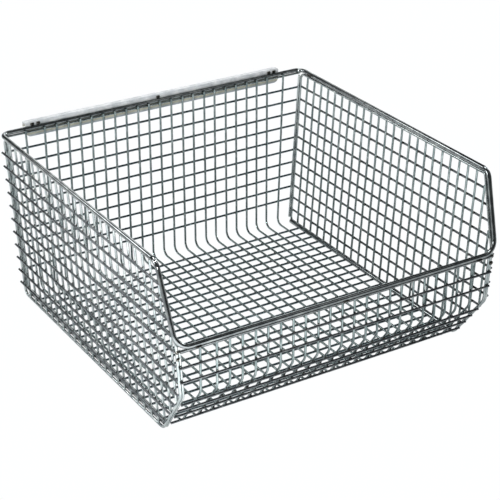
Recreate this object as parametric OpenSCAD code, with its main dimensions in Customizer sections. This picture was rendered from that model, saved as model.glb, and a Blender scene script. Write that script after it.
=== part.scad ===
// Hang-and-stack wire mesh bin: a welded steel mesh basket with a heavy rim wire,
// a dropped hopper front with a slanted lower edge, and a folded hanging rail.
// Millimetres. +Z is up, the open hopper front faces -Y, and the origin is the centre
// of the bounding box's underside.

/* [Mesh] */
// Distance from one bent wire, upright or floor row to the next
pitch = 14; // [13.6:0.1:14.2]
// Distance from one cross wire to the next, up the back, sides and front
row_pitch = 15.7; // [15:0.1:15.8]
// Diameter of the mesh wires
wire_d = 2.4; // [2:0.1:2.8]
// Bent wires that run down the back, along the floor and up the front
bent_count = 21; // [15:2:21]
// Cross wires on the back panel
back_row_count = 10; // [8:1:10]
// Cross wires under the floor
floor_row_count = 21; // [18:1:21]
// Full-height uprights in each side panel
upright_count = 24; // [20:1:24]

/* [Basket] */
// Half width between the side panels at floor level
base_half_w = 176.5; // [172:0.5:180]
// Outward lean of the side panels in degrees
lean = 3.6; // [3:0.1:5]
// Distance from the back panel to the front panel
basket_depth = 363; // [355:0.5:370]
// Drop of the slanted lower front edge
chamfer_drop = 56; // [54:0.5:57]
// Run of the slanted lower front edge
chamfer_run = 41; // [40:0.5:42]
// Height of the highest cross wire
top_row_z = 172.4; // [170:0.2:174]

/* [Rim] */
// Diameter of the rim wire
rim_d = 4.8; // [4.4:0.1:5.2]
// Diameter of the two runners on the floor's edges
runner_d = 5.6; // [4.8:0.1:6]
// Diameter of the side frames and of the lip rod
frame_d = 3; // [2.6:0.1:3.2]
// Height of the rim wire's centre at the back and sides
rim_z = 193.2; // [191:0.2:196]
// Height of the rim wire's centre along the front lip
lip_z = 113.6; // [111:0.2:116]
// Distance from the back panel to where the rim turns down
slope_start = 340.2; // [332:0.2:345]

/* [Hanging rail] */
// Length of the folded rail
rail_len = 318; // [280:1:330]
// Thickness of the rail's sheet steel
rail_t = 1.2; // [1:0.1:1.5]
// Depth of the rail's top from its front face to its rear face
rail_depth = 9; // [8:0.5:10]
// Height of the front flange, below which the mesh shows again
rail_flange_h = 16.2; // [14:0.2:18]
// Height of the rear lip that hooks over a panel
rail_lip_h = 6.5; // [5:0.5:8]

/* [Hidden] */

$fn = 24;
// Clearance left where two pieces are welded face to face
weld_gap = 0.05;
// Bends are a hair thicker than the straights, which run a little way into them
bend_swell = 0.02;
bend_lap = 0.2;
wire_r = wire_d / 2;
rim_r = rim_d / 2;
frame_r = frame_d / 2;
runner_r = runner_d / 2;

// Bend radii of the formed wires
rear_bend_r = 8;
floor_bend_r = 12;
front_bend_r = 15;
rim_back_r = 10;
rim_slope_r = 11;
rim_lip_r = 15;
frame_bend_r = 7;

// Centres of the mesh layers: cross wires lie outside, bent wires inside them
layer = wire_d + weld_gap;
bent_back_y = -layer;
bent_floor_z = wire_r + layer;
front_row_y = -basket_depth - wire_r;
bent_front_y = front_row_y + layer;

// The slanted edge's weld plane runs back from its upper corner as it drops
slant_top_z = wire_d + chamfer_drop;
slant_length = norm([chamfer_run, chamfer_drop]);
slant_run = chamfer_run / chamfer_drop;
slant_skew = slant_length / chamfer_drop;
slant_off = wire_r + weld_gap / 2;
slant_frame_off = frame_r + weld_gap;

// Rim wire against the outside of the bent wires' upper ends
rim_back_y = bent_back_y + wire_r + rim_r + weld_gap;
rim_lip_y = bent_front_y - wire_r - rim_r - weld_gap;

// Side frame wire, which lies in the plane of the uprights just inside the rim
frame_off = -frame_r - weld_gap / 2;
corner_off = -frame_d - wire_r - 2 * weld_gap;
frame_rear_y = -wire_r - frame_r - weld_gap;
frame_front_y = -basket_depth + frame_r + weld_gap;
frame_floor_z = frame_r;
rim_to_frame = sqrt(pow(rim_r + frame_r + weld_gap, 2) - pow(frame_off, 2));
frame_top_z = rim_z - rim_to_frame;
slope_run = (-slope_start - rim_lip_y) / (rim_z - lip_z);
slope_y_shift = rim_to_frame * sqrt(1 + slope_run * slope_run);

// Folded rail behind the rim
rail_front_y = rim_back_y + rim_r + weld_gap;
rail_rear_y = rail_front_y + rail_depth;
rail_top_z = rim_z + rim_r + 3;
rail_bend_r = 2.2;

// Rods under the rim and the runners on the floor's edges
lip_rod_z = lip_z - rim_r - frame_r - weld_gap;
lip_rod_y = bent_front_y - wire_r - frame_r - weld_gap;
lip_rod_half = 180;
runner_z = wire_d + runner_r + weld_gap;
runner_rear_y = -9;
runner_front_y = -317;

// Rows of cross wires
first_floor_row_y = -24.1;
first_front_row_z = 91.6;
front_row_count = 2;
chamfer_row_count = 4;
end_wire_top_x = 162;
end_wire_floor_x = 156;
end_wire_lip_x = 157.5;

// The box's middle is moved onto the origin
box_rear_y = rail_rear_y;
box_front_y = rim_lip_y - rim_r;
centre_y = -(box_rear_y + box_front_y) / 2;

// ---- geometry helpers ----

function unit(v) = v / norm(v);

// x of the side panel's weld plane at height z, moved outwards by off
function side_x(z, off = 0) = base_half_w + z * tan(lean) + off / cos(lean);
function side_point(y, z, off) = [side_x(z, off), y, z];

// y of the slanted edge at height z, and its height at a given y, moved inwards by off
function slant_y(z, off) = -basket_depth + (slant_top_z - z) * slant_run + off * slant_skew;
function slant_z(y, off) = slant_top_z - (y + basket_depth - off * slant_skew) / slant_run;

// y of the rim's sloping run at height z, and of the frame wire just inside it
function rim_slope_y(z) = -slope_start - (rim_z - z) * slope_run;
function frame_slope_y(z) = rim_slope_y(z) + slope_y_shift;
// height of the frame wire's sloping run above a given y
function frame_slope_z(y) = rim_z - (-slope_start + slope_y_shift - y) / slope_run;

// angle turned at b on the way from a to c
function turn(a, b, c) = acos(max(-1, min(1, unit(b - a) * unit(c - b))));
// length that a bend of radius r takes from each straight at b
function setback(a, b, c, r) = r * tan(turn(a, b, c) / 2);

// places a child's X, Y and Z axes along three directions at a point
module place(x_dir, y_dir, z_dir, at) {
  multmatrix([
    [x_dir[0], y_dir[0], z_dir[0], at[0]],
    [x_dir[1], y_dir[1], z_dir[1], at[1]],
    [x_dir[2], y_dir[2], z_dir[2], at[2]],
    [0, 0, 0, 1]
  ])
    children();
}

// straight round bar from p to q
module bar(p, q, d) {
  along = unit(q - p);
  helper = abs(along[2]) > 0.9 ? [1, 0, 0] : [0, 0, 1];
  across = unit(cross(helper, along));
  place(across, cross(along, across), along, p)
    cylinder(d = d, h = norm(q - p));
}

// round bar bent at b with centreline radius r, coming from a and leaving to c
module bend(a, b, c, d, r) {
  into = unit(b - a);
  out = unit(c - b);
  inward = unit(out - into * (into * out));
  centre = b - into * setback(a, b, c, r) + inward * r;
  place(-inward, into, unit(cross(into, out)), centre)
    rotate_extrude(angle = turn(a, b, c))
      translate([r, 0])
        circle(d = d + bend_swell);
}

// formed wire through points, with one radius for each inner point
module wire(points, d, radii) {
  last = len(points) - 1;
  cut = [for (i = [0:last])
    (i == 0 || i == last)
      ? 0
      : setback(points[i - 1], points[i], points[i + 1], radii[i - 1]) - bend_lap];
  for (i = [0:last - 1]) {
    along = unit(points[i + 1] - points[i]);
    bar(points[i] + along * cut[i], points[i + 1] - along * cut[i + 1], d);
  }
  for (i = [1:last - 1])
    bend(points[i - 1], points[i], points[i + 1], d, radii[i - 1]);
}

// closed formed wire, one radius for each point
module closed_wire(points, d, radii) {
  n = len(points);
  cut = [for (i = [0:n - 1])
    setback(points[(i + n - 1) % n], points[i], points[(i + 1) % n], radii[i]) - bend_lap];
  for (i = [0:n - 1]) {
    following = (i + 1) % n;
    along = unit(points[following] - points[i]);
    bar(points[i] + along * cut[i], points[following] - along * cut[following], d);
    bend(points[(i + n - 1) % n], points[i], points[following], d, radii[i]);
  }
}

// short weld bead with round ends, centred at a point and lying along X or Y
module bead(at, d, length, axis) {
  ends = axis == "x" ? [length / 2, 0, 0] : [0, length / 2, 0];
  bar(at - ends, at + ends, d);
  translate(at - ends) sphere(d = d);
  translate(at + ends) sphere(d = d);
}

// moves the basket from its back-panel origin to the box's centre
module centred() translate([0, centre_y, 0]) children();
// draws a right-hand piece, or the same piece mirrored to the left
module handed(left) mirror([left ? 1 : 0, 0, 0]) children();

// ---- rim, rods and welds ----

module rim_wire() {
  side_top = side_x(rim_z);
  side_lip = side_x(lip_z);
  color("silver")
    centred()
      closed_wire(
        [
          [-side_top, rim_back_y, rim_z], [side_top, rim_back_y, rim_z],
          [side_top, -slope_start, rim_z], [side_lip, rim_lip_y, lip_z],
          [-side_lip, rim_lip_y, lip_z], [-side_top, -slope_start, rim_z]
        ],
        rim_d,
        [rim_back_r, rim_back_r, rim_slope_r, rim_lip_r, rim_lip_r, rim_slope_r]
      );
}

module rim_joint_weld() {
  weld_d = 3;
  inside = side_x(rim_z) - rim_r - weld_d / 2 - weld_gap;
  color("dimgray")
    centred()
      bead([inside, -22, rim_z], weld_d, 4, "y");
}

module lip_rod() {
  color("silver")
    centred()
      bar([-lip_rod_half, lip_rod_y, lip_rod_z], [lip_rod_half, lip_rod_y, lip_rod_z], frame_d);
}

// beads in the groove between the lip of the rim and the rod under it
module lip_welds() {
  weld_d = 1.8;
  groove_z = (lip_z - rim_r + lip_rod_z + frame_r) / 2;
  reach = rim_r + weld_d / 2;
  groove_y = rim_lip_y - sqrt(reach * reach - pow(lip_z - groove_z, 2)) - weld_gap;
  color("dimgray")
    centred()
      for (x = [-162, 0, 162])
        bead([x, groove_y, groove_z], weld_d, 5, "x");
}

module back_top_rod() {
  z = rim_z - rim_r - wire_r - weld_gap;
  half = side_x(z, frame_off);
  color("silver")
    centred()
      bar([-half, 0, z], [half, 0, z], wire_d);
}

// ---- folded hanging rail ----

// quarter bend of the rail's sheet, for its outer top edges
module fold() {
  difference() {
    intersection() {
      circle(r = rail_bend_r);
      square(rail_bend_r);
    }
    circle(r = rail_bend_r - rail_t);
  }
}

// rail section: Y across and Z up, as a flat shape
module rail_section() {
  flat = rail_depth - 2 * rail_bend_r;
  translate([rail_bend_r, rail_top_z - rail_t]) square([flat, rail_t]);
  translate([rail_depth - rail_bend_r, rail_top_z - rail_bend_r]) fold();
  translate([rail_bend_r, rail_top_z - rail_bend_r]) mirror([1, 0]) fold();
  translate([rail_depth - rail_t, rail_top_z - rail_lip_h])
    square([rail_t, rail_lip_h - rail_bend_r]);
}

// front flange with rounded lower corners, drawn upright as a flat shape
module rail_flange() {
  corner_r = 6;
  half = rail_len / 2;
  height = rail_flange_h - rail_bend_r;
  translate([-half, corner_r]) square([rail_len, height - corner_r]);
  translate([-half + corner_r, 0]) square([rail_len - 2 * corner_r, corner_r]);
  for (side = [-1, 1])
    translate([side * (half - corner_r), corner_r]) circle(r = corner_r);
}

module hanging_rail() {
  color("gainsboro")
    centred()
      translate([0, rail_front_y, 0]) {
        translate([-rail_len / 2, 0, 0])
          rotate([90, 0, 90])
            linear_extrude(rail_len)
              rail_section();
        translate([0, rail_t, rail_top_z - rail_flange_h])
          rotate([90, 0, 0])
            linear_extrude(rail_t)
              rail_flange();
      }
}

// beads in the groove between the rim and the rail's front flange
module rail_welds() {
  weld_d = 2.8;
  reach = rim_r + weld_d / 2 + weld_gap;
  groove_y = rail_front_y - weld_d / 2 - weld_gap;
  groove_z = rim_z + sqrt(reach * reach - pow(groove_y - rim_back_y, 2));
  color("dimgray")
    centred()
      for (x = [-152, -145, 0, 145, 152])
        bead([x, groove_y, groove_z], weld_d, 2, "x");
}

// ---- side panels ----

module side_frame() {
  top_front_y = frame_slope_y(frame_top_z);
  corners = [
    [frame_rear_y, frame_floor_z],
    [frame_rear_y, frame_top_z],
    [top_front_y, frame_top_z],
    [frame_front_y, frame_slope_z(frame_front_y)],
    [frame_front_y, slant_z(frame_front_y, slant_frame_off)],
    [slant_y(frame_floor_z, slant_frame_off), frame_floor_z]
  ];
  closed_wire(
    [for (corner = corners) side_point(corner[0], corner[1], frame_off)],
    frame_d,
    [frame_bend_r, frame_bend_r, 3, front_bend_r, front_bend_r, floor_bend_r]
  );
}

// lowest point of the upright at y, which stands on the frame's floor run or slanted run
function upright_foot_z(y) = max(
  frame_floor_z + frame_r,
  slant_z(y - wire_r, slant_frame_off + frame_r)
) + weld_gap;
// highest point of the upright at y, under the frame's top run or sloping run
function upright_head_z(y) = min(
  frame_top_z - frame_r,
  frame_slope_z(y) - frame_r / sin(atan(slope_run)) - wire_r / tan(atan(slope_run))
) - weld_gap;

module uprights() {
  off = -wire_r - weld_gap / 2;
  for (n = [1:upright_count + 1]) {
    y = -1.2 * pitch - pitch * (n - 1);
    bar(
      side_point(y, upright_foot_z(y), off),
      side_point(y, upright_head_z(y), off),
      wire_d
    );
  }
}

// forward end of the side row at height z, on the frame wire and clear of the rim
function side_row_front_y(z) = z > lip_z
  ? frame_slope_y(z) - 0.8
  : max(frame_front_y, slant_y(z, slant_frame_off));

module side_rows() {
  off = wire_r + weld_gap / 2;
  for (j = [0:back_row_count]) {
    z = top_row_z - row_pitch * j;
    bar(side_point(frame_rear_y - frame_r + 5, z, off), side_point(side_row_front_y(z), z, off), wire_d);
  }
}

module left_side_frame() color("silver") centred() handed(true) side_frame();
module right_side_frame() color("silver") centred() handed(false) side_frame();
module left_uprights() color("lightgray") centred() handed(true) uprights();
module right_uprights() color("lightgray") centred() handed(false) uprights();
module left_side_rows() color("darkgray") centred() handed(true) side_rows();
module right_side_rows() color("darkgray") centred() handed(false) side_rows();

// ---- cross wires of the formed mesh ----

module row(y, z, half) bar([-half, y, z], [half, y, z], wire_d);

module back_rows() {
  color("darkgray")
    centred()
      for (j = [0:back_row_count - 1]) {
        z = top_row_z - row_pitch * j;
        row(0, z, side_x(z, frame_off));
      }
}

module floor_rows() {
  half = side_x(0, -frame_d - 3 * weld_gap);
  color("darkgray")
    centred()
      for (i = [0:floor_row_count - 1])
        row(first_floor_row_y - pitch * i, wire_r, half);
}

module chamfer_rows() {
  color("darkgray")
    centred()
      for (step = [1:chamfer_row_count]) {
        contact_z = slant_top_z - step * pitch * chamfer_drop / slant_length;
        z = contact_z - slant_off * chamfer_run / slant_length;
        row(slant_y(z, -slant_off), z, side_x(z, corner_off));
      }
}

module front_rows() {
  color("darkgray")
    centred()
      for (i = [0:front_row_count - 1]) {
        z = first_front_row_z - row_pitch * i;
        row(front_row_y, z, side_x(z, frame_off));
      }
}

// ---- bent wires of the formed mesh ----

// wire bent down the back, along the floor, up the slant and up the front
module bent_wire(top_x, floor_x, lip_x) {
  wire(
    [
      [top_x, bent_back_y, rim_z],
      [floor_x, bent_back_y, bent_floor_z],
      [floor_x, slant_y(bent_floor_z, slant_off), bent_floor_z],
      [lip_x, bent_front_y, slant_z(bent_front_y, slant_off)],
      [lip_x, bent_front_y, lip_z]
    ],
    wire_d,
    [rear_bend_r, floor_bend_r, front_bend_r]
  );
}

module bent_wires() {
  reach = (bent_count - 1) / 2;
  color("lightgray")
    centred()
      for (k = [-reach:reach])
        bent_wire(k * pitch, k * pitch, k * pitch);
}

module end_wire() bent_wire(end_wire_top_x, end_wire_floor_x, end_wire_lip_x);
module left_end_wire() color("lightgray") centred() handed(true) end_wire();
module right_end_wire() color("lightgray") centred() handed(false) end_wire();

// corner wires lie against the inside of the side frame and end at the runners
module front_corner_wire() {
  corners = [
    [bent_front_y, lip_rod_z],
    [bent_front_y, slant_z(bent_front_y, slant_off)],
    [slant_y(bent_floor_z, slant_off), bent_floor_z],
    [runner_front_y - weld_gap, bent_floor_z]
  ];
  wire(
    [for (corner = corners) side_point(corner[0], corner[1], corner_off)],
    wire_d,
    [front_bend_r, 4]
  );
}

module rear_corner_wire() {
  z_top = frame_top_z - frame_r;
  z_foot = runner_z + runner_r + weld_gap;
  bar(side_point(bent_back_y, z_foot, corner_off), side_point(bent_back_y, z_top, corner_off), wire_d);
}

module left_front_corner_wire() color("lightgray") centred() handed(true) front_corner_wire();
module right_front_corner_wire() color("lightgray") centred() handed(false) front_corner_wire();
module left_rear_corner_wire() color("lightgray") centred() handed(true) rear_corner_wire();
module right_rear_corner_wire() color("lightgray") centred() handed(false) rear_corner_wire();

// heavy rod along the inside of each lower edge, resting on the floor rows
module runner() {
  x = side_x(runner_z, -wire_d - runner_r - 2 * weld_gap);
  bar([x, runner_front_y, runner_z], [x, runner_rear_y, runner_z], runner_d);
}
module left_runner() color("silver") centred() handed(true) runner();
module right_runner() color("silver") centred() handed(false) runner();

rim_wire();
rim_joint_weld();
lip_rod();
lip_welds();
back_top_rod();
hanging_rail();
rail_welds();
left_side_frame();
right_side_frame();
left_uprights();
right_uprights();
left_side_rows();
right_side_rows();
back_rows();
floor_rows();
chamfer_rows();
front_rows();
bent_wires();
left_end_wire();
right_end_wire();
left_front_corner_wire();
right_front_corner_wire();
left_rear_corner_wire();
right_rear_corner_wire();
left_runner();
right_runner();
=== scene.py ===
"""Hang-and-stack wire mesh bin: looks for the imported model, laid out like an add-on.

Formed wires are swept along their paths by Geometry Nodes, weld spots are instanced on
the crossings, and every finish is a procedural material.
"""

import math

import bmesh
import bpy
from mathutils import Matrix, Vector


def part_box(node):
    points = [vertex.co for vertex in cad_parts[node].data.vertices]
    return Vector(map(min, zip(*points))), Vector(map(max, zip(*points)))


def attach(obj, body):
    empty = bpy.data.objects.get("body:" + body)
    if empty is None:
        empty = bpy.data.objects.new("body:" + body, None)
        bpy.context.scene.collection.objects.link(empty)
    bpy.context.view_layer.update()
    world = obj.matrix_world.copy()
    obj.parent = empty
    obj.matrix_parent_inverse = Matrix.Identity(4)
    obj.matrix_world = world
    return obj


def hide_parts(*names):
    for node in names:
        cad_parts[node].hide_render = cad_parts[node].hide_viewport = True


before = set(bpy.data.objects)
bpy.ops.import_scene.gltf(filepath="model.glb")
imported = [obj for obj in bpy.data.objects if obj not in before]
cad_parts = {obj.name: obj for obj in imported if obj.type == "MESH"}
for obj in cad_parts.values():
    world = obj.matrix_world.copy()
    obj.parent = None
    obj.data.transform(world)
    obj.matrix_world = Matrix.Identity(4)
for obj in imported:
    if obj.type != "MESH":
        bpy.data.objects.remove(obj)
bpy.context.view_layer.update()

bl_info = {
    "name": "Wire mesh bin",
    "version": (1, 0, 0),
    "blender": (4, 5, 0),
    "location": "3D View > Sidebar > Wire bin",
    "description": "Builds the wires, welds, rail and finishes of a hang-and-stack mesh bin",
    "category": "Object",
}

MM = 0.001

# Sides of the round section and length of a straight stretch in a drawn wire
MESH_SIDES = 14
ROD_SIDES = 20
RIM_SIDES = 28
LONGEST_STRETCH = 20 * MM

# Steps round a bend
WIRE_BEND_STEPS = 7
RIM_BEND_STEPS = 12

# Small bends and offsets that only one kind of wire has
FRAME_SLOPE_BEND = 3 * MM
CORNER_WIRE_BEND = 4 * MM
END_WIRE_SPREAD = 1.5 * MM
SIDE_ROW_SETBACK = 0.8 * MM

# Beads on the front corners: how far below the lip rod's centre, and size against a weld spot
CORNER_BEAD_DROPS = (1.0 * MM, 8.5 * MM)
CORNER_BEAD_SCALE = 1.35

# Waves per metre in the slight bow of the mesh wires
BOW_WAVES = 22.0

# Grain of the colour clouds in the plate
CLOUD_MM = 9.0

# Half width of the studio floor
FLOOR_HALF = 6


# ---- sizes read from the frame ----

def low(node, axis):
    """Lowest coordinate of a node along an axis (0, 1 or 2)."""
    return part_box(node)[0][axis]


def high(node, axis):
    """Highest coordinate of a node along an axis."""
    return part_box(node)[1][axis]


WIRE = high("left_rear_corner_wire", 1) - low("left_rear_corner_wire", 1)
ROD = high("lip_rod", 1) - low("lip_rod", 1)
RUNNER = high("left_runner", 2) - low("left_runner", 2)
GAP = 0.05 * MM  # between wires that cross or lie side by side
RIM = high("rim_wire", 1) - high("bent_wires", 1) - GAP
LAYER = WIRE + GAP

ROW_BACK_Y = high("back_rows", 1) - WIRE / 2
ROW_FRONT_Y = low("front_rows", 1) + WIRE / 2
BENT_BACK_Y = high("bent_wires", 1) - WIRE / 2
BENT_FRONT_Y = low("bent_wires", 1) + WIRE / 2
BENT_FLOOR_Z = low("bent_wires", 2) + WIRE / 2
ROW_FLOOR_Z = low("floor_rows", 2) + WIRE / 2
BENT_TOP_Z = high("bent_wires", 2)
RIM_Z = high("rim_wire", 2) - RIM / 2
LIP_Z = low("rim_wire", 2) + RIM / 2
RIM_BACK_Y = high("rim_wire", 1) - RIM / 2
RIM_LIP_Y = low("rim_wire", 1) + RIM / 2
RIM_HALF = high("rim_wire", 0) - RIM / 2
SLANT_ROW_LOW_Z = low("chamfer_rows", 2) + WIRE / 2
SLANT_ROW_HIGH_Z = high("chamfer_rows", 2) - WIRE / 2
SLANT_ROW_FRONT_Y = low("chamfer_rows", 1) + WIRE / 2
SLANT_ROW_REAR_Y = high("chamfer_rows", 1) - WIRE / 2
SLANT_RUN = (SLANT_ROW_REAR_Y - SLANT_ROW_FRONT_Y) / (SLANT_ROW_HIGH_Z - SLANT_ROW_LOW_Z)
SLANT_SKEW = math.hypot(1, SLANT_RUN)
SLANT_FRAME_OFF = WIRE / 2 + ROD / 2 + 1.5 * GAP


def sheet_colour(hex_code):
    """An sRGB hex colour as linear RGBA."""
    channels = [int(hex_code[i:i + 2], 16) / 255 for i in (1, 3, 5)]
    linear = [c / 12.92 if c <= 0.04045 else ((c + 0.055) / 1.055) ** 2.4 for c in channels]
    return (*linear, 1.0)


# ---- user settings ----

class BinWireSettings(bpy.types.PropertyGroup):
    """Sizes of the formed wires."""

    bent_count: bpy.props.IntProperty(
        name="Bent wires", description="Wires that run down the back and along the floor",
        default=21, min=3, max=41)
    back_row_count: bpy.props.IntProperty(
        name="Back rows", description="Cross wires on the back", default=10, min=2, max=20)
    floor_row_count: bpy.props.IntProperty(
        name="Floor rows", description="Cross wires under the floor", default=21, min=2, max=40)
    slant_row_count: bpy.props.IntProperty(
        name="Slant rows", description="Cross wires on the slanted edge", default=4, min=2, max=8)
    side_row_count: bpy.props.IntProperty(
        name="Side rows", description="Cross wires on each side", default=11, min=2, max=20)
    upright_count: bpy.props.IntProperty(
        name="Uprights", description="Upright wires in each side", default=25, min=2, max=40)
    side_lean: bpy.props.FloatProperty(
        name="Side lean", description="Outward lean of the side panels",
        default=math.radians(3.6), min=0, max=0.3, subtype="ANGLE")
    slope_start: bpy.props.FloatProperty(
        name="Slope start", description="Distance from the back panel to where the rim turns down",
        default=340.2 * MM, min=0.1, max=0.4, unit="LENGTH")
    rear_bend: bpy.props.FloatProperty(
        name="Rear bend", description="Bend radius between back and floor",
        default=8 * MM, min=0.003, max=0.03, unit="LENGTH")
    floor_bend: bpy.props.FloatProperty(
        name="Floor bend", description="Bend radius between floor and slanted edge",
        default=12 * MM, min=0.003, max=0.03, unit="LENGTH")
    front_bend: bpy.props.FloatProperty(
        name="Front bend", description="Bend radius between slanted edge and front",
        default=15 * MM, min=0.003, max=0.03, unit="LENGTH")
    frame_bend: bpy.props.FloatProperty(
        name="Frame bend", description="Bend radius of the side frames' rear corners",
        default=7 * MM, min=0.003, max=0.03, unit="LENGTH")
    rim_back_bend: bpy.props.FloatProperty(
        name="Rim rear bend", description="Bend radius of the rim's rear corners",
        default=10 * MM, min=0.005, max=0.03, unit="LENGTH")
    rim_slope_bend: bpy.props.FloatProperty(
        name="Rim slope bend", description="Bend radius where the rim turns down",
        default=11 * MM, min=0.005, max=0.03, unit="LENGTH")
    rim_lip_bend: bpy.props.FloatProperty(
        name="Rim lip bend", description="Bend radius of the rim's lip corners",
        default=15 * MM, min=0.005, max=0.03, unit="LENGTH")
    unevenness: bpy.props.FloatProperty(
        name="Unevenness", description="How far a hand-loaded mesh wire strays from its place",
        default=0.35 * MM, min=0, max=0.002, unit="LENGTH")
    spot_width: bpy.props.FloatProperty(
        name="Weld spot width", description="Width of the flattened metal at a crossing",
        default=3.1 * MM, min=0.001, max=0.006, unit="LENGTH")
    spot_height: bpy.props.FloatProperty(
        name="Weld spot height", description="Height of the flattened metal at a crossing",
        default=1.7 * MM, min=0.0005, max=0.004, unit="LENGTH")


class BinStageSettings(bpy.types.PropertyGroup):
    """Camera, floor and light."""

    azimuth: bpy.props.FloatProperty(
        name="Azimuth", description="Camera's direction round the bin",
        default=math.radians(-31.62), subtype="ANGLE")
    elevation: bpy.props.FloatProperty(
        name="Elevation", description="Camera's angle above the floor",
        default=math.radians(26.9), subtype="ANGLE")
    distance: bpy.props.FloatProperty(
        name="Distance", description="From the camera to its target",
        default=1.615, min=0.5, max=10, unit="LENGTH")
    target: bpy.props.FloatVectorProperty(
        name="Target", description="Point that the camera looks at",
        default=(0.0033, -0.0094, 0.0871), subtype="TRANSLATION", unit="LENGTH")
    lens: bpy.props.FloatProperty(
        name="Lens", description="Focal length in millimetres", default=110.9, min=20, max=400)
    floor_colour: bpy.props.FloatVectorProperty(
        name="Floor colour", description="Colour of the studio floor",
        default=sheet_colour("#f4f5f6")[:3], subtype="COLOR", min=0, max=1)
    sky_strength: bpy.props.FloatProperty(
        name="Room light", description="Strength of the dim light from all round, as mirrored",
        default=0.10, min=0, max=5)
    backdrop: bpy.props.FloatProperty(
        name="Backdrop", description="Brightness of the floor and room as the camera sees them",
        default=1.1, min=0, max=5)
    table_glow: bpy.props.FloatProperty(
        name="Floor glow", description="Light that the floor gives off, as mirrored by the wires",
        default=0.27, min=0, max=5)
    key_power: bpy.props.FloatProperty(
        name="Key light", description="Power of the overhead light", default=14, min=0, max=500)
    side_power: bpy.props.FloatProperty(
        name="Side lights", description="Power of each side light", default=14, min=0, max=500)
    rear_power: bpy.props.FloatProperty(
        name="Rear lights", description="Power of each rear light, mirrored by the rim and the rail",
        default=5.5, min=0, max=500)
    front_power: bpy.props.FloatProperty(
        name="Front light", description="Power of the light over the front, mirrored by the rim",
        default=0.5, min=0, max=500)
    pool_power: bpy.props.FloatProperty(
        name="Floor pool", description="Power of the light on the floor that the wires mirror",
        default=150, min=0, max=2000)
    fill_power: bpy.props.FloatProperty(
        name="Rail fill", description="Power of the light on the rail's front face",
        default=200, min=0, max=2000)


# ---- node trees ----

def add_node(tree, kind, settings=None, values=None):
    """Adds a node, sets its properties, and sets or links its input sockets."""
    node = tree.nodes.new(kind)
    for key, value in (settings or {}).items():
        setattr(node, key, value)
    for key, value in (values or {}).items():
        if isinstance(value, bpy.types.NodeSocket):
            tree.links.new(value, node.inputs[key])
        else:
            node.inputs[key].default_value = value
    return node


def new_tree(name, inputs):
    """A geometry node group with named inputs, and its input and output nodes."""
    tree = bpy.data.node_groups.new(name, "GeometryNodeTree")
    tree.interface.new_socket("Geometry", in_out="INPUT", socket_type="NodeSocketGeometry")
    for label, kind, default in inputs:
        socket = tree.interface.new_socket(label, in_out="INPUT", socket_type=kind)
        if default is not None:
            socket.default_value = default
    tree.interface.new_socket("Geometry", in_out="OUTPUT", socket_type="NodeSocketGeometry")
    return tree, tree.nodes.new("NodeGroupInput"), tree.nodes.new("NodeGroupOutput")


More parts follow.
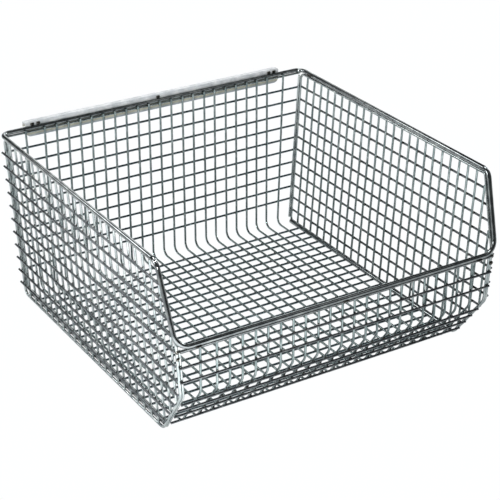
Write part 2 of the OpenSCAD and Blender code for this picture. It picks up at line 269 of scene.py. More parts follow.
def formed_wire_tree():
    """Sweeps round wire along paths, repeated in a row with small uneven gaps."""
    tree, given, made = new_tree("Formed wires", [
        ("Count", "NodeSocketInt", 1),
        ("Spacing", "NodeSocketVector", (0, 0, 0)),
        ("Diameter", "NodeSocketFloat", WIRE),
        ("Sides", "NodeSocketInt", MESH_SIDES),
        ("Unevenness", "NodeSocketFloat", 0.0),
        ("Bow", "NodeSocketFloat", 0.0),
        ("Seed", "NodeSocketInt", 7),
        ("Material", "NodeSocketMaterial", None),
    ])
    get = given.outputs
    places = add_node(tree, "GeometryNodeMeshLine", {"mode": "OFFSET", "count_mode": "TOTAL"},
                      {"Count": get["Count"], "Offset": get["Spacing"]})
    along = add_node(tree, "ShaderNodeVectorMath", {"operation": "NORMALIZE"}, {0: get["Spacing"]})
    stray = add_node(tree, "FunctionNodeRandomValue", {"data_type": "FLOAT"},
                     {2: -1.0, 3: 1.0, "Seed": get["Seed"]})
    amount = add_node(tree, "ShaderNodeMath", {"operation": "MULTIPLY"},
                      {0: stray.outputs[1], 1: get["Unevenness"]})
    shift = add_node(tree, "ShaderNodeVectorMath", {"operation": "SCALE"},
                     {0: along.outputs[0], "Scale": amount.outputs[0]})
    uneven = add_node(tree, "GeometryNodeSetPosition", None,
                      {"Geometry": places.outputs[0], "Offset": shift.outputs[0]})
    paths = add_node(tree, "GeometryNodeMeshToCurve", None, {"Mesh": get["Geometry"]})
    row = add_node(tree, "GeometryNodeInstanceOnPoints", None,
                   {"Points": uneven.outputs[0], "Instance": paths.outputs[0]})
    laid = add_node(tree, "GeometryNodeRealizeInstances", None, {"Geometry": row.outputs[0]})
    where = add_node(tree, "GeometryNodeInputPosition")
    ripple = add_node(tree, "ShaderNodeTexNoise", {"noise_dimensions": "3D"},
                      {"Vector": where.outputs[0], "Scale": BOW_WAVES, "Detail": 0.0})
    centred = add_node(tree, "ShaderNodeVectorMath", {"operation": "SUBTRACT"},
                       {0: ripple.outputs["Color"], 1: (0.5, 0.5, 0.5)})
    bow = add_node(tree, "ShaderNodeVectorMath", {"operation": "SCALE"},
                   {0: centred.outputs[0], "Scale": get["Bow"]})
    bowed = add_node(tree, "GeometryNodeSetPosition", None,
                     {"Geometry": laid.outputs[0], "Offset": bow.outputs[0]})
    radius = add_node(tree, "ShaderNodeMath", {"operation": "MULTIPLY"},
                      {0: get["Diameter"], 1: 0.5})
    section = add_node(tree, "GeometryNodeCurvePrimitiveCircle", {"mode": "RADIUS"},
                       {"Resolution": get["Sides"], "Radius": radius.outputs[0]})
    swept = add_node(tree, "GeometryNodeCurveToMesh", None,
                     {"Curve": bowed.outputs[0], "Profile Curve": section.outputs[0],
                      "Fill Caps": True})
    smooth = add_node(tree, "GeometryNodeSetShadeSmooth", None, {"Geometry": swept.outputs[0]})
    real = add_node(tree, "GeometryNodeRealizeInstances", None, {"Geometry": smooth.outputs[0]})
    add_material = add_node(tree, "GeometryNodeSetMaterial", None,
                            {"Geometry": real.outputs[0], "Material": get["Material"]})
    tree.links.new(add_material.outputs[0], made.inputs[0])
    return tree


def weld_spot_tree():
    """Puts a flattened bead on each point, flat side to the point's facing direction."""
    tree, given, made = new_tree("Weld spots", [
        ("Width", "NodeSocketFloat", 3.1 * MM),
        ("Height", "NodeSocketFloat", 1.7 * MM),
        ("Variation", "NodeSocketFloat", 0.14),
        ("Seed", "NodeSocketInt", 11),
        ("Material", "NodeSocketMaterial", None),
    ])
    get = given.outputs
    bead = add_node(tree, "GeometryNodeMeshUVSphere", None,
                    {"Segments": 8, "Rings": 5, "Radius": 0.5})
    facing = add_node(tree, "GeometryNodeInputNamedAttribute", {"data_type": "FLOAT_VECTOR"},
                      {"Name": "facing"})
    turned = add_node(tree, "FunctionNodeAlignRotationToVector", {"axis": "Z"},
                      {"Vector": facing.outputs[0]})
    size = add_node(tree, "ShaderNodeCombineXYZ", None,
                    {0: get["Width"], 1: get["Width"], 2: get["Height"]})
    least = add_node(tree, "ShaderNodeMath", {"operation": "SUBTRACT"},
                     {0: 1.0, 1: get["Variation"]})
    most = add_node(tree, "ShaderNodeMath", {"operation": "ADD"},
                    {0: 1.0, 1: get["Variation"]})
    chance = add_node(tree, "FunctionNodeRandomValue", {"data_type": "FLOAT"},
                      {2: least.outputs[0], 3: most.outputs[0], "Seed": get["Seed"]})
    varied = add_node(tree, "ShaderNodeVectorMath", {"operation": "SCALE"},
                      {0: size.outputs[0], "Scale": chance.outputs[1]})
    beads = add_node(tree, "GeometryNodeInstanceOnPoints", None,
                     {"Points": get["Geometry"], "Instance": bead.outputs[0],
                      "Rotation": turned.outputs[0], "Scale": varied.outputs[0]})
    real = add_node(tree, "GeometryNodeRealizeInstances", None, {"Geometry": beads.outputs[0]})
    smooth = add_node(tree, "GeometryNodeSetShadeSmooth", None, {"Geometry": real.outputs[0]})
    add_material = add_node(tree, "GeometryNodeSetMaterial", None,
                            {"Geometry": smooth.outputs[0], "Material": get["Material"]})
    tree.links.new(add_material.outputs[0], made.inputs[0])
    return tree


def tree_called(name, maker):
    """A node group by its name, made the first time it is asked for."""
    return bpy.data.node_groups.get(name) or maker()


def grown(name, mesh, tree, inputs):
    """Runs a node tree on a mesh and returns the result as a plain mesh object."""
    seed = bpy.data.objects.new(name + "_path", mesh)
    bpy.context.scene.collection.objects.link(seed)
    modifier = seed.modifiers.new("Shape", "NODES")
    modifier.node_group = tree
    sockets = {item.name: item.identifier for item in tree.interface.items_tree
               if item.in_out == "INPUT"}
    for label, value in inputs.items():
        modifier[sockets[label]] = value
    evaluated = seed.evaluated_get(bpy.context.evaluated_depsgraph_get())
    result = bpy.data.meshes.new_from_object(evaluated)
    bpy.data.objects.remove(seed)
    result.name = name
    piece = bpy.data.objects.new(name, result)
    bpy.context.scene.collection.objects.link(piece)
    return piece


def settle(piece, slot, *nodes):
    """Puts a finished piece on the bin's only body, in place of its CAD nodes."""
    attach(piece, "root")
    if nodes:
        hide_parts(*nodes)


# ---- paths ----

def bent_path(corners, radii, steps=WIRE_BEND_STEPS):
    """Points along a path whose corners are rounded; a radius of 0 leaves an end as it is."""
    count = len(corners)
    points = []
    for i, corner in enumerate(corners):
        radius = radii[i]
        if not radius:
            points.append(corner)
            continue
        arriving = (corner - corners[i - 1]).normalized()
        leaving = (corners[(i + 1) % count] - corner).normalized()
        turn = arriving.angle(leaving)
        tangent = radius * math.tan(turn / 2)
        inward = (leaving - arriving * arriving.dot(leaving)).normalized()
        centre = corner - arriving * tangent + inward * radius
        for step in range(steps + 1):
            angle = turn * step / steps
            points.append(centre - inward * radius * math.cos(angle)
                          + arriving * radius * math.sin(angle))
    return points


def divided(points, closed):
    """The same path with extra points, so that no stretch is longer than LONGEST_STRETCH."""
    result = []
    pairs = list(zip(points, points[1:]))
    if closed:
        pairs.append((points[-1], points[0]))
    for start, end in pairs:
        parts = max(1, math.ceil((end - start).length / LONGEST_STRETCH))
        result += [start.lerp(end, part / parts) for part in range(parts)]
    if not closed:
        result.append(points[-1])
    return result


def path_mesh(name, paths, closed):
    """One mesh of edges that holds several paths."""
    verts = []
    edges = []
    for path in paths:
        points = divided(path, closed)
        first = len(verts)
        verts += points
        edges += [(first + i, first + i + 1) for i in range(len(points) - 1)]
        if closed:
            edges.append((first + len(points) - 1, first))
    mesh = bpy.data.meshes.new(name)
    mesh.from_pydata(verts, edges, [])
    return mesh


def spot_mesh(name, spots):
    """One mesh of points, each with the direction that its weld spot faces."""
    places = [place for place, direction in spots]
    directions = [number for place, direction in spots for number in direction]
    mesh = bpy.data.meshes.new(name)
    mesh.from_pydata(places, [], [])
    mesh.attributes.new("facing", "FLOAT_VECTOR", "POINT").data.foreach_set("vector", directions)
    return mesh


def wires(name, paths, diameter, material, slot, node, closed=False, sides=MESH_SIDES, count=1,
          spacing=(0, 0, 0), uneven=0.0, bow=0.0, seed=7):
    """Builds one piece of swept wires in place of its CAD node."""
    mesh = path_mesh(name + "_paths", paths, closed)
    piece = grown(name, mesh, tree_called("Formed wires", formed_wire_tree), {
        "Count": count, "Spacing": spacing, "Diameter": diameter, "Sides": sides,
        "Unevenness": uneven, "Bow": bow, "Seed": seed, "Material": material})
    settle(piece, slot, node)


# ---- the bin's geometry ----

def wire_settings():
    """The sizes that the panel shows."""
    return bpy.context.scene.bin_wires


def side_x(z, off=0.0):
    """Half width of the side panel's weld plane at a height, moved outwards by off."""
    lean = wire_settings().side_lean
    return RIM_HALF - (RIM_Z - z) * math.tan(lean) + off / math.cos(lean)


def side_point(side, y, z, off):
    """A point on one side panel: side is -1 on the left and 1 on the right."""
    return Vector((side * side_x(z, off), y, z))


def from_back(distance):
    """y of a place at a distance in front of the back panel's weld plane."""
    return ROW_BACK_Y - distance


def slant_y(z, off=0.0):
    """y of the slanted edge's row layer at a height, moved inwards by off."""
    return SLANT_ROW_FRONT_Y + (SLANT_ROW_HIGH_Z - z) * SLANT_RUN + off * SLANT_SKEW


def slant_z(y, off=0.0):
    """Height of the slanted edge's row layer at a given y, moved inwards by off."""
    return SLANT_ROW_HIGH_Z - (y - SLANT_ROW_FRONT_Y - off * SLANT_SKEW) / SLANT_RUN


FRAME_OFF = -ROD / 2 - GAP / 2
CORNER_OFF = -ROD - WIRE / 2 - 2 * GAP
FRAME_FLOOR_Z = ROD / 2
FRAME_REAR_Y = ROW_BACK_Y - WIRE / 2 - ROD / 2 - GAP
FRAME_FRONT_Y = ROW_FRONT_Y + WIRE / 2 + ROD / 2 + GAP
RIM_TO_FRAME = math.sqrt((RIM / 2 + ROD / 2 + GAP) ** 2 - FRAME_OFF ** 2)
FRAME_TOP_Z = RIM_Z - RIM_TO_FRAME


def slope_run():
    """Forward run of the rim's slope for each metre of drop."""
    return (from_back(wire_settings().slope_start) - RIM_LIP_Y) / (RIM_Z - LIP_Z)


def frame_slope_start():
    """y where the side frame's sloping run, carried on upwards, reaches the rim's height."""
    run = slope_run()
    return from_back(wire_settings().slope_start) + RIM_TO_FRAME * math.sqrt(1 + run * run)


def frame_slope_z(y):
    """Height of the side frame's sloping run at a given y."""
    return RIM_Z - (frame_slope_start() - y) / slope_run()


def frame_slope_y(z):
    """y of the side frame's sloping run at a height."""
    return frame_slope_start() - (RIM_Z - z) * slope_run()


def upright_ys(side):
    """Places of a side panel's uprights, from the rear one to the short front one."""
    node = "left_uprights" if side < 0 else "right_uprights"
    first = high(node, 1) - WIRE / 2
    last = low(node, 1) + WIRE / 2
    count = wire_settings().upright_count
    return [first + (last - first) * n / (count - 1) for n in range(count)]


def upright_ends(y):
    """Lower and upper end of the upright at a place along the side."""
    slope = math.atan(slope_run())
    foot = max(FRAME_FLOOR_Z + ROD / 2, slant_z(y - WIRE / 2, SLANT_FRAME_OFF + ROD / 2))
    head = min(FRAME_TOP_Z - ROD / 2,
               frame_slope_z(y) - ROD / 2 / math.sin(slope) - WIRE / 2 / math.tan(slope))
    return foot, head


def row_pitch():
    """Distance between the back panel's cross wires."""
    rows = wire_settings().back_row_count
    return (high("back_rows", 2) - low("back_rows", 2) - WIRE) / (rows - 1)


def side_row_zs():
    """Heights of the side panels' cross wires, from the top one down."""
    top = high("back_rows", 2) - WIRE / 2
    pitch = row_pitch()
    return [top - pitch * j for j in range(wire_settings().side_row_count)]


def back_row_zs():
    """Heights of the back's cross wires: all but the lowest of the side panels' ones."""
    return side_row_zs()[:wire_settings().back_row_count]


def side_row_front_y(z):
    """Front end of the side row at a height."""
    if z > LIP_Z:
        return frame_slope_y(z) - SIDE_ROW_SETBACK
    return max(FRAME_FRONT_Y, slant_y(z, SLANT_FRAME_OFF))


def bent_xs():
    """Places of the bent wires across the bin."""
    half = high("bent_wires", 0) - WIRE / 2
    count = wire_settings().bent_count
    return [-half + 2 * half * k / (count - 1) for k in range(count)]


def floor_row_ys():
    """Places of the floor's cross wires, from the rear one to the front one."""
    first = high("floor_rows", 1) - WIRE / 2
    last = low("floor_rows", 1) + WIRE / 2
    count = wire_settings().floor_row_count
    return [first + (last - first) * i / (count - 1) for i in range(count)]


def slant_row_zs():
    """Heights of the slanted edge's cross wires, evenly stepped."""
    span = SLANT_ROW_HIGH_Z - SLANT_ROW_LOW_Z
    count = wire_settings().slant_row_count
    return [SLANT_ROW_HIGH_Z - span * step / (count - 1) for step in range(count)]


def front_row_zs():
    """Heights of the front's two cross wires."""
    return [high("front_rows", 2) - WIRE / 2, low("front_rows", 2) + WIRE / 2]


def bent_wire_corners(top_x, floor_x, lip_x):
    """Corner points of a wire bent down the back, along the floor and up the front."""
    return [
        Vector((top_x, BENT_BACK_Y, BENT_TOP_Z)),
        Vector((floor_x, BENT_BACK_Y, BENT_FLOOR_Z)),
        Vector((floor_x, slant_y(BENT_FLOOR_Z, LAYER), BENT_FLOOR_Z)),
        Vector((lip_x, BENT_FRONT_Y, slant_z(BENT_FRONT_Y, LAYER))),
        Vector((lip_x, BENT_FRONT_Y, LIP_Z)),
    ]


# ---- materials ----

def object_place(tree):
    """Object coordinates, in metres on this model."""
    return add_node(tree, "ShaderNodeTexCoord").outputs["Object"]


def noise(tree, place, size_mm, detail, stretch=None):
    """Fac of a noise whose grains are about size_mm across, stretched along the axes if asked."""
    if stretch:
        mapping = add_node(tree, "ShaderNodeMapping", None, {"Vector": place, "Scale": stretch})
        place = mapping.outputs[0]
    texture = add_node(tree, "ShaderNodeTexNoise", None, {
        "Vector": place, "Scale": 1 / (size_mm * MM), "Detail": detail, "Roughness": 0.55})
    return texture.outputs["Fac"]


def ramp(tree, factor, stops):
    """Colour ramp with the given (position, colour) stops."""
    node = add_node(tree, "ShaderNodeValToRGB", None, {"Fac": factor})
    elements = node.color_ramp.elements
    while len(elements) < len(stops):
        elements.new(0.5)
    for element, (position, colour) in zip(elements, stops):
        element.position = position
        element.color = colour
    return node.outputs["Color"]


def grey(value):
    """A linear grey, which a ramp turns into a plain number."""
    return (value, value, value, 1.0)


def plated_steel(name, dull, clean, bright, rough, bump_mm, grain_mm=1.2, stretch=None):
    """Electroplated steel: a metal whose colour clouds between three tones and whose
    surface has fine marks and a soft uneven gloss."""
    material = bpy.data.materials.new(name)
    material.use_nodes = True
    tree = material.node_tree
    shader = tree.nodes["Principled BSDF"]
    shader.inputs["Metallic"].default_value = 1.0
    place = object_place(tree)
    clouds = noise(tree, place, CLOUD_MM, 2.0)
    tones = ramp(tree, clouds, [(0.30, sheet_colour(dull)), (0.52, sheet_colour(clean)),
                                (0.74, sheet_colour(bright))])
    tree.links.new(tones, shader.inputs["Base Color"])
    marks = noise(tree, place, grain_mm, 4.0, stretch)
    gloss = ramp(tree, marks, [(0.35, grey(rough * 0.7)), (0.65, grey(rough * 1.4))])
    tree.links.new(gloss, shader.inputs["Roughness"])
    bump = add_node(tree, "ShaderNodeBump", None,
                    {"Height": marks, "Strength": 0.5, "Distance": bump_mm * MM})
    tree.links.new(bump.outputs[0], shader.inputs["Normal"])
    return material


def shaded_mesh_wire_inside():
    """Blue-white zinc on the bent wires, the end wires and the right panel's uprights, darker than
    the side copy as painted shade.
    """
    return plated_steel("shaded_bright_zinc_mesh_wire", "#6c7a7b", "#869393", "#a9b3b3", 0.17, 0.012)


def lit_mesh_wire_side():
    """A lighter grey copy of the same zinc, as painted light, for the left panel's uprights, the
    frames and the corner wires.
    """
    return plated_steel("lit_bright_zinc_side_wire", "#98a2a4", "#b1b9b9", "#cfd4d2", 0.17, 0.012)


def shaded_row_wire_inside():
    """Painted shade with a painted bluish reflection, as a darker, bluer copy of the zinc, for the
    cross wires of the back and floor.
    """
    return plated_steel("dull_shaded_zinc_mesh_row", "#55646a", "#6c7b80", "#8c999c", 0.19, 0.012)


def shaded_row_wire_outside():
    """The same painted shade in a neutral grey, for the front and the slanted edge."""
    return plated_steel("dull_shaded_zinc_outer_row", "#5a5f63", "#727679", "#929596", 0.19, 0.012)


def shaded_row_wire_side():
    """The deepest painted shade of the mesh, for the cross wires of both sides."""
    return plated_steel("dull_shaded_zinc_side_row", "#4c5155", "#63686b", "#85898b", 0.18, 0.012)


def rim_zinc():
    """Zinc on the heavy wires, smoother and more mirror-like than on the mesh."""
    return plated_steel("bright_zinc_rim_wire", "#787d7f", "#939899", "#b4b9b8", 0.11, 0.003)


def rail_zinc():
    """Zinc-plated sheet with lengthwise rolling marks and a cloudy coat, so that it is only
    partly metallic. Its colour carries a painted reflection by height: blue at the lower edge,
    straw on the flange and none at the top."""
    material = plated_steel("bright_zinc_rail_sheet", "#b4b9bd", "#c8cccf", "#dfe1e2", 0.34, 0.01,
                            0.6, (0.04, 1.0, 1.0))
    tree = material.node_tree
    shader = tree.nodes["Principled BSDF"]
    shader.inputs["Metallic"].default_value = 0.35
    plate = shader.inputs["Base Color"].links[0].from_socket
    place = object_place(tree)
    height = add_node(tree, "ShaderNodeSeparateXYZ", None, {"Vector": place}).outputs["Z"]
    lowest, highest = low("hanging_rail", 2), high("hanging_rail", 2)
    up = add_node(tree, "ShaderNodeMapRange", None,
                  {"Value": height, "From Min": lowest, "From Max": highest}).outputs[0]
    # Painted reflection: a tint by height, blue at the lower edge, straw on the flange, plain above
    painted_reflection_tint = ramp(tree, up, [(0.0, sheet_colour("#b4bfca")), (0.22, sheet_colour("#d2ccb4")),
                           (0.66, sheet_colour("#dcd8c8")), (0.84, sheet_colour("#ffffff"))])
    reflection_tint_mix = add_node(tree, "ShaderNodeMix", {"data_type": "RGBA", "blend_type": "MULTIPLY"},
                    {"Factor": 1.0, 6: plate, 7: painted_reflection_tint})  # 6 and 7 are the two colours
    tree.links.new(reflection_tint_mix.outputs[2], shader.inputs["Base Color"])
    return material


def weld_metal():
    """Resistance-weld metal under the plate: duller, rougher and browner than the wire."""
    return plated_steel("plated_weld_metal", "#54504b", "#6b6a66", "#8e8e89", 0.27, 0.08, 0.7)


def bead_metal():
    """Arc-welded bead under bright plate: a dark, glassy lump with a sharp highlight."""
    return plated_steel("plated_weld_bead", "#3f3e3c", "#5a5955", "#83827d", 0.14, 0.05, 0.9)


# The mesh finishes are lit and shaded copies of one zinc: side is painted light, mesh and the three
# row finishes painted shade
FINISHES = {
    "mesh": shaded_mesh_wire_inside, "side": lit_mesh_wire_side, "row": shaded_row_wire_inside,
    "outer_row": shaded_row_wire_outside, "side_row": shaded_row_wire_side, "rim": rim_zinc,
    "rail": rail_zinc, "weld": weld_metal, "bead": bead_metal,
}
MADE_FINISHES = {}


def finish(key):
    """A finish by its key, made the first time it is asked for."""
    if key not in MADE_FINISHES:
        MADE_FINISHES[key] = FINISHES[key]()
    return MADE_FINISHES[key]


def coat(node, key):
    """Gives a CAD node's faces a finish."""
    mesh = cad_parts[node].data
    mesh.materials.clear()
    mesh.materials.append(finish(key))


# ---- operators ----

class BIN_OT_rim(bpy.types.Operator):
    """Builds the heavy rim wire, bent into a closed loop"""

    bl_idname = "wire_bin.rim"
    bl_label = "Rim wire"

    def execute(self, context):
        s = wire_settings()
        lip_half = side_x(LIP_Z)
        slope_y = from_back(s.slope_start)
        corners = [
            Vector((-RIM_HALF, RIM_BACK_Y, RIM_Z)), Vector((RIM_HALF, RIM_BACK_Y, RIM_Z)),
            Vector((RIM_HALF, slope_y, RIM_Z)), Vector((lip_half, RIM_LIP_Y, LIP_Z)),
            Vector((-lip_half, RIM_LIP_Y, LIP_Z)), Vector((-RIM_HALF, slope_y, RIM_Z)),
        ]
        radii = [s.rim_back_bend, s.rim_back_bend, s.rim_slope_bend,
                 s.rim_lip_bend, s.rim_lip_bend, s.rim_slope_bend]
        path = bent_path(corners, radii, RIM_BEND_STEPS)
        wires("rim_loop", [path], RIM, finish("rim"), "heavy_wire", "rim_wire",
              closed=True, sides=RIM_SIDES)
        return {"FINISHED"}


class BIN_OT_rods(bpy.types.Operator):
    """Builds the lip rod, the rod under the rear rim and the two runners"""

    bl_idname = "wire_bin.rods"
    bl_label = "Rods and runners"

    def execute(self, context):
        for node, diameter, key, slot in (("lip_rod", ROD, "rim", "heavy_wire"),
                                          ("back_top_rod", WIRE, "side", "mesh_wire")):
            lowest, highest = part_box(node)
            middle = (lowest + highest) / 2
            path = [Vector((x, middle.y, middle.z)) for x in (lowest.x, highest.x)]
            wires(node + "_drawn", [path], diameter, finish(key), slot, node, sides=ROD_SIDES)
        for node in ("left_runner", "right_runner"):
            lowest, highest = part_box(node)
            middle = (lowest + highest) / 2
            path = [Vector((middle.x, y, middle.z)) for y in (lowest.y, highest.y)]
            wires(node + "_drawn", [path], RUNNER, finish("rim"), "heavy_wire", node,
                  sides=RIM_SIDES)
        return {"FINISHED"}


class BIN_OT_side_frames(bpy.types.Operator):
    """Builds the closed wire frame round each side panel"""

    bl_idname = "wire_bin.side_frames"
    bl_label = "Side frames"

    def execute(self, context):
        s = wire_settings()
        profile = [
            (FRAME_REAR_Y, FRAME_FLOOR_Z), (FRAME_REAR_Y, FRAME_TOP_Z),
            (frame_slope_y(FRAME_TOP_Z), FRAME_TOP_Z),
            (FRAME_FRONT_Y, frame_slope_z(FRAME_FRONT_Y)),
            (FRAME_FRONT_Y, slant_z(FRAME_FRONT_Y, SLANT_FRAME_OFF)),
            (slant_y(FRAME_FLOOR_Z, SLANT_FRAME_OFF), FRAME_FLOOR_Z),
        ]
        radii = [s.frame_bend, s.frame_bend, FRAME_SLOPE_BEND,
                 s.front_bend, s.front_bend, s.floor_bend]
        for side, name in ((-1, "left"), (1, "right")):
            corners = [side_point(side, y, z, FRAME_OFF) for y, z in profile]
            wires(name + "_frame_wire", [bent_path(corners, radii)], ROD, finish("side"),
                  "heavy_wire", name + "_side_frame", closed=True, sides=ROD_SIDES)
        return {"FINISHED"}


class BIN_OT_side_mesh(bpy.types.Operator):
    """Builds the uprights and cross wires of both side panels"""

    bl_idname = "wire_bin.side_mesh"
    bl_label = "Side mesh"

    def execute(self, context):
        s = wire_settings()
        inside = -WIRE / 2 - GAP / 2
        outside = WIRE / 2 + GAP / 2
        # The left panel's uprights get the lighter copy (painted light), the right panel's the
        # darker one (painted shade)
        for side, name, key in ((-1, "left", "side"), (1, "right", "mesh")):
            uprights = []
            for y in upright_ys(side):
                foot, head = upright_ends(y)
                uprights.append([side_point(side, y, z, inside) for z in (foot, head)])
            wires(name + "_upright_wires", uprights, WIRE, finish(key), "mesh_wire",
                  name + "_uprights", bow=s.unevenness * 2)
            rear = high(name + "_side_rows", 1)
            rows = [[side_point(side, y, z, outside) for y in (rear, side_row_front_y(z))]
                    for z in side_row_zs()]
            # The side rows take the darkest copy of the zinc, which is painted shade
            wires(name + "_row_wires", rows, WIRE, finish("side_row"), "mesh_wire",
                  name + "_side_rows", bow=s.unevenness)
        return {"FINISHED"}


class BIN_OT_cross_rows(bpy.types.Operator):
    """Builds the cross wires of the back, floor, slanted edge and front"""

    bl_idname = "wire_bin.cross_rows"
    bl_label = "Cross wires"

    def execute(self, context):
        s = wire_settings()

        def row(y, z, half):
            return [Vector((-half, y, z)), Vector((half, y, z))]

        back = [row(ROW_BACK_Y, z, side_x(z, FRAME_OFF)) for z in back_row_zs()]
        slant = [row(slant_y(z), z, side_x(z, CORNER_OFF)) for z in slant_row_zs()]
        front = [row(ROW_FRONT_Y, z, side_x(z, FRAME_OFF)) for z in front_row_zs()]
        floor_ys = floor_row_ys()
        first_floor = [row(floor_ys[0], ROW_FLOOR_Z, high("floor_rows", 0))]
        spacing = (0, floor_ys[1] - floor_ys[0], 0)
        # Back and floor rows take the darker, bluer zinc copy, slanted edge and front rows the
        # darker grey one, all painted shade
        for node, paths, key, seed in (("back_rows", back, "row", 2),
                                       ("chamfer_rows", slant, "outer_row", 3),
                                       ("front_rows", front, "outer_row", 4)):
            wires(node + "_drawn", paths, WIRE, finish(key), "mesh_wire", node,
                  bow=s.unevenness, seed=seed)
        wires("floor_rows_drawn", first_floor, WIRE, finish("row"), "mesh_wire", "floor_rows",
              count=s.floor_row_count, spacing=spacing, uneven=s.unevenness, seed=5)
        return {"FINISHED"}


class BIN_OT_bent_wires(bpy.types.Operator):
    """Builds the wires that are bent down the back, along the floor and up the front"""

    bl_idname = "wire_bin.bent_wires"
    bl_label = "Bent wires"

    def execute(self, context):
        s = wire_settings()
        radii = [0, s.rear_bend, s.floor_bend, s.front_bend, 0]
        xs = bent_xs()
        first = bent_path(bent_wire_corners(xs[0], xs[0], xs[0]), radii)
        wires("bent_wires_drawn", [first], WIRE, finish("mesh"), "mesh_wire", "bent_wires",
              count=s.bent_count, spacing=(xs[1] - xs[0], 0, 0), uneven=s.unevenness, seed=6)
        for side, name in ((-1, "left"), (1, "right")):
            lowest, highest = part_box(name + "_end_wire")
            ends = sorted((abs(lowest.x), abs(highest.x)))
            top_x = side * (ends[1] - WIRE / 2)
            floor_x = side * (ends[0] + WIRE / 2)
            corners = bent_wire_corners(top_x, floor_x, floor_x + side * END_WIRE_SPREAD)
            wires(name + "_end_wire_drawn", [bent_path(corners, radii)], WIRE, finish("mesh"),
                  "mesh_wire", name + "_end_wire")
        return {"FINISHED"}


class BIN_OT_corner_wires(bpy.types.Operator):
    """Builds the wires inside the front and rear corners"""

    bl_idname = "wire_bin.corner_wires"
    bl_label = "Corner wires"

    def execute(self, context):
        s = wire_settings()
        lip_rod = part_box("lip_rod")
        lip_rod_z = (lip_rod[0].z + lip_rod[1].z) / 2
        for side, name in ((-1, "left"), (1, "right")):
            front_y = low(name + "_runner", 1) - GAP
            profile = [
                (BENT_FRONT_Y, lip_rod_z), (BENT_FRONT_Y, slant_z(BENT_FRONT_Y, LAYER)),
                (slant_y(BENT_FLOOR_Z, LAYER), BENT_FLOOR_Z), (front_y, BENT_FLOOR_Z),
            ]
            corners = [side_point(side, y, z, CORNER_OFF) for y, z in profile]
            path = bent_path(corners, [0, s.front_bend, CORNER_WIRE_BEND, 0])
            wires(name + "_front_corner_drawn", [path], WIRE, finish("side"), "mesh_wire",
                  name + "_front_corner_wire")
            foot, head = high(name + "_runner", 2) + GAP, FRAME_TOP_Z - ROD / 2
            path = [side_point(side, BENT_BACK_Y, z, CORNER_OFF) for z in (foot, head)]
            wires(name + "_rear_corner_drawn", [path], WIRE, finish("side"), "mesh_wire",
                  name + "_rear_corner_wire")
        return {"FINISHED"}


class BIN_OT_weld_spots(bpy.types.Operator):
    """Puts a weld spot on the mesh's crossings and a bead on each front corner's joints"""

    bl_idname = "wire_bin.weld_spots"
    bl_label = "Weld spots"

    def execute(self, context):
        s = wire_settings()
        back = Vector((0, 1, 0))
        down = Vector((0, 0, 1))
        slant = Vector((0, 1, SLANT_RUN)).normalized()
        contact = LAYER / 2
        spots = []
        for x in bent_xs():
            spots += [(Vector((x, ROW_BACK_Y - contact, z)), back) for z in back_row_zs()]
            spots += [(Vector((x, y, ROW_FLOOR_Z + contact)), down) for y in floor_row_ys()]
            spots += [(Vector((x, slant_y(z), z)) + slant * contact, slant) for z in slant_row_zs()]
            spots += [(Vector((x, ROW_FRONT_Y + contact, z)), back) for z in front_row_zs()]
        self.build("mesh_weld_spots", spots, s)
        for side, name in ((-1, "left"), (1, "right")):
            out = Vector((side * math.cos(s.side_lean), 0, -math.sin(s.side_lean)))
            spots = []
            for y in upright_ys(side):
                foot, head = upright_ends(y)
                spots += [(side_point(side, y, z, 0), out) for z in side_row_zs()
                          if foot < z < head and y > side_row_front_y(z)]
            self.build(name + "_weld_spots", spots, s)
        lip_rod_z = (low("lip_rod", 2) + high("lip_rod", 2)) / 2
        face_y = FRAME_FRONT_Y - ROD / 2
        corners = [(side_point(side, face_y, lip_rod_z - drop, FRAME_OFF), back)
                   for side in (-1, 1) for drop in CORNER_BEAD_DROPS]
        self.build("corner_beads", corners, s, "bead", CORNER_BEAD_SCALE)
        return {"FINISHED"}

    def build(self, name, spots, s, key="weld", scale=1.0):
        """Builds one piece of weld spots, each a place and the direction that it faces."""
        tree = tree_called("Weld spots", weld_spot_tree)
        piece = grown(name, spot_mesh(name, spots), tree, {
            "Width": s.spot_width * scale, "Height": s.spot_height * scale,
            "Material": finish(key)})
        settle(piece, "weld")


class BIN_OT_cad_finishes(bpy.types.Operator):
    """Gives the rail and the weld beads their finishes"""

    bl_idname = "wire_bin.cad_finishes"
    bl_label = "Rail and beads"

    def execute(self, context):
        coat("hanging_rail", "rail")
        for node in ("rim_joint_weld", "lip_welds", "rail_welds"):
            coat(node, "bead")
        return {"FINISHED"}


def shown_white(tree, plain, white, output):
    """Joins a shader to the output, with a white one in its place where the camera sees it."""
    seen = add_node(tree, "ShaderNodeLightPath").outputs["Is Camera Ray"]
    mixed = add_node(tree, "ShaderNodeMixShader", None,
                     {0: seen, 1: plain.outputs[0], 2: white.outputs[0]})
    tree.links.new(mixed.outputs[0], tree.nodes[output].inputs["Surface"])


def hang_lamp(name, light, place, aim):
    """Puts a light at a place, turned towards its aim."""
    lamp = bpy.data.objects.new(name, light)
    lamp.location = place
    lamp.rotation_euler = (aim - place).to_track_quat("-Z", "Y").to_euler()
    bpy.context.scene.collection.objects.link(lamp)


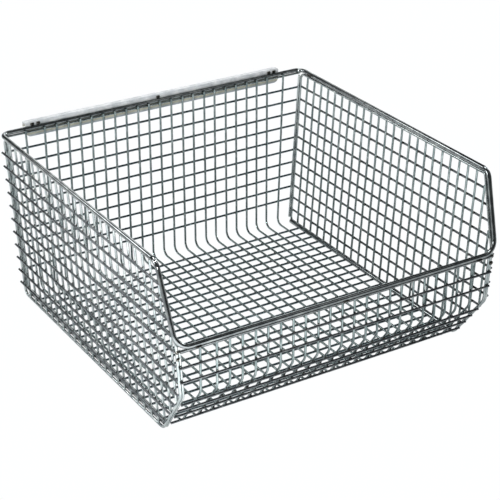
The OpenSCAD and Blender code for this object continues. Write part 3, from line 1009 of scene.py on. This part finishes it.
class BIN_OT_stage(bpy.types.Operator):
    """Sets up the pale floor, the soft lights and the camera"""

    bl_idname = "wire_bin.stage"
    bl_label = "Stage"

    def execute(self, context):
        s = context.scene.bin_stage
        self.floor(s)
        self.sky(s)
        self.lights(s)
        self.camera(s)
        context.scene.view_settings.view_transform = "Standard"
        return {"FINISHED"}

    def floor(self, s):
        """Lays the floor, which the camera sees white and the wires mirror dimmer."""
        mesh = bpy.data.meshes.new("studio_floor")
        shape = bmesh.new()
        bmesh.ops.create_grid(shape, x_segments=1, y_segments=1, size=FLOOR_HALF)
        shape.to_mesh(mesh)
        shape.free()
        material = bpy.data.materials.new("studio_floor_paint")
        material.use_nodes = True
        tree = material.node_tree
        shader = tree.nodes["Principled BSDF"]
        shader.inputs["Base Color"].default_value = (*s.floor_colour, 1)
        shader.inputs["Roughness"].default_value = 0.8
        shader.inputs["Emission Color"].default_value = (*s.floor_colour, 1)
        shader.inputs["Emission Strength"].default_value = s.table_glow
        white = add_node(tree, "ShaderNodeEmission", None,
                         {"Color": (*s.floor_colour, 1), "Strength": s.backdrop})
        shown_white(tree, shader, white, "Material Output")
        mesh.materials.append(material)
        floor = bpy.data.objects.new("studio_floor", mesh)
        bpy.context.scene.collection.objects.link(floor)

    def sky(self, s):
        """Sets the room, which the camera sees white and the wires mirror almost dark."""
        world = bpy.data.worlds.new("studio_room")
        world.use_nodes = True
        tree = world.node_tree
        room = tree.nodes["Background"]
        room.inputs["Color"].default_value = sheet_colour("#dfe6e8")
        room.inputs["Strength"].default_value = s.sky_strength
        white = add_node(tree, "ShaderNodeBackground", None,
                         {"Color": (*s.floor_colour, 1), "Strength": s.backdrop})
        shown_white(tree, room, white, "World Output")
        bpy.context.scene.world = world

    def lights(self, s):
        """Hangs the square lights (place, width, power) and the two spots (place, aim, angle)."""
        middle = Vector((0, 0, 0.1))
        for name, place, width, power in (
                ("overhead", (0.1, 0.5, 2.2), 0.7, s.key_power),
                ("left_box", (-2.0, 0.2, 0.9), 0.8, s.side_power),
                ("right_box", (2.0, 0.6, 1.0), 0.8, s.side_power),
                ("rear_left_box", (-0.82, 1.1, 0.88), 0.4, s.rear_power * 0.5),
                ("rear_right_box", (0.83, 1.75, 0.9), 0.95, s.rear_power),
                ("front_box", (0.95, -0.95, 1.55), 0.4, s.front_power)):
            light = bpy.data.lights.new(name, "AREA")
            light.size = width
            light.energy = power
            hang_lamp(name, light, Vector(place), middle)
        rail = [(low("hanging_rail", axis) + high("hanging_rail", axis)) / 2 for axis in range(3)]
        for name, place, aim, angle, power in (
                ("floor_pool", (-0.32, -0.5, 1.2), (-0.32, -0.5, 0.0), 42, s.pool_power),
                ("rail_fill", (-1.1, -1.6, 0.75), rail, 16, s.fill_power)):
            spot = bpy.data.lights.new(name, "SPOT")
            spot.energy = power
            spot.spot_size = math.radians(angle)
            spot.spot_blend = 1.0
            spot.shadow_soft_size = 0.1
            hang_lamp(name, spot, Vector(place), Vector(aim))

    def camera(self, s):
        """Aims the camera at its target from the set angles and distance."""
        data = bpy.data.cameras.new("view")
        data.lens = s.lens
        data.sensor_width = 36
        data.clip_start = 0.01
        data.clip_end = 50
        camera = bpy.data.objects.new("view", data)
        back = Vector((math.sin(s.azimuth) * math.cos(s.elevation),
                       -math.cos(s.azimuth) * math.cos(s.elevation), math.sin(s.elevation)))
        camera.location = Vector(s.target) + back * s.distance
        camera.rotation_euler = (-back).to_track_quat("-Z", "Y").to_euler()
        bpy.context.scene.collection.objects.link(camera)
        bpy.context.scene.camera = camera


OPERATORS = (
    BIN_OT_rim, BIN_OT_rods, BIN_OT_side_frames, BIN_OT_side_mesh, BIN_OT_cross_rows,
    BIN_OT_bent_wires, BIN_OT_corner_wires, BIN_OT_weld_spots, BIN_OT_cad_finishes, BIN_OT_stage,
)


class BIN_PT_panel(bpy.types.Panel):
    """Lists the bin's settings and building steps"""

    bl_idname = "BIN_PT_panel"
    bl_label = "Wire mesh bin"
    bl_space_type = "VIEW_3D"
    bl_region_type = "UI"
    bl_category = "Wire bin"

    def draw(self, context):
        for settings in (context.scene.bin_wires, context.scene.bin_stage):
            box = self.layout.box()
            for key in settings.__annotations__:
                box.prop(settings, key)
        for operator in OPERATORS:
            self.layout.operator(operator.bl_idname)


CLASSES = (BinWireSettings, BinStageSettings, *OPERATORS, BIN_PT_panel)


def register():
    """Adds the settings, steps and panel to Blender."""
    for cls in CLASSES:
        bpy.utils.register_class(cls)
    bpy.types.Scene.bin_wires = bpy.props.PointerProperty(type=BinWireSettings)
    bpy.types.Scene.bin_stage = bpy.props.PointerProperty(type=BinStageSettings)


def unregister():
    """Takes them out again."""
    del bpy.types.Scene.bin_stage
    del bpy.types.Scene.bin_wires
    for cls in reversed(CLASSES):
        bpy.utils.unregister_class(cls)


def main():
    """Builds the whole bin."""
    register()
    for operator in OPERATORS:
        group, name = operator.bl_idname.split(".")
        getattr(getattr(bpy.ops, group), name)()


if __name__ == "__main__":
    main()
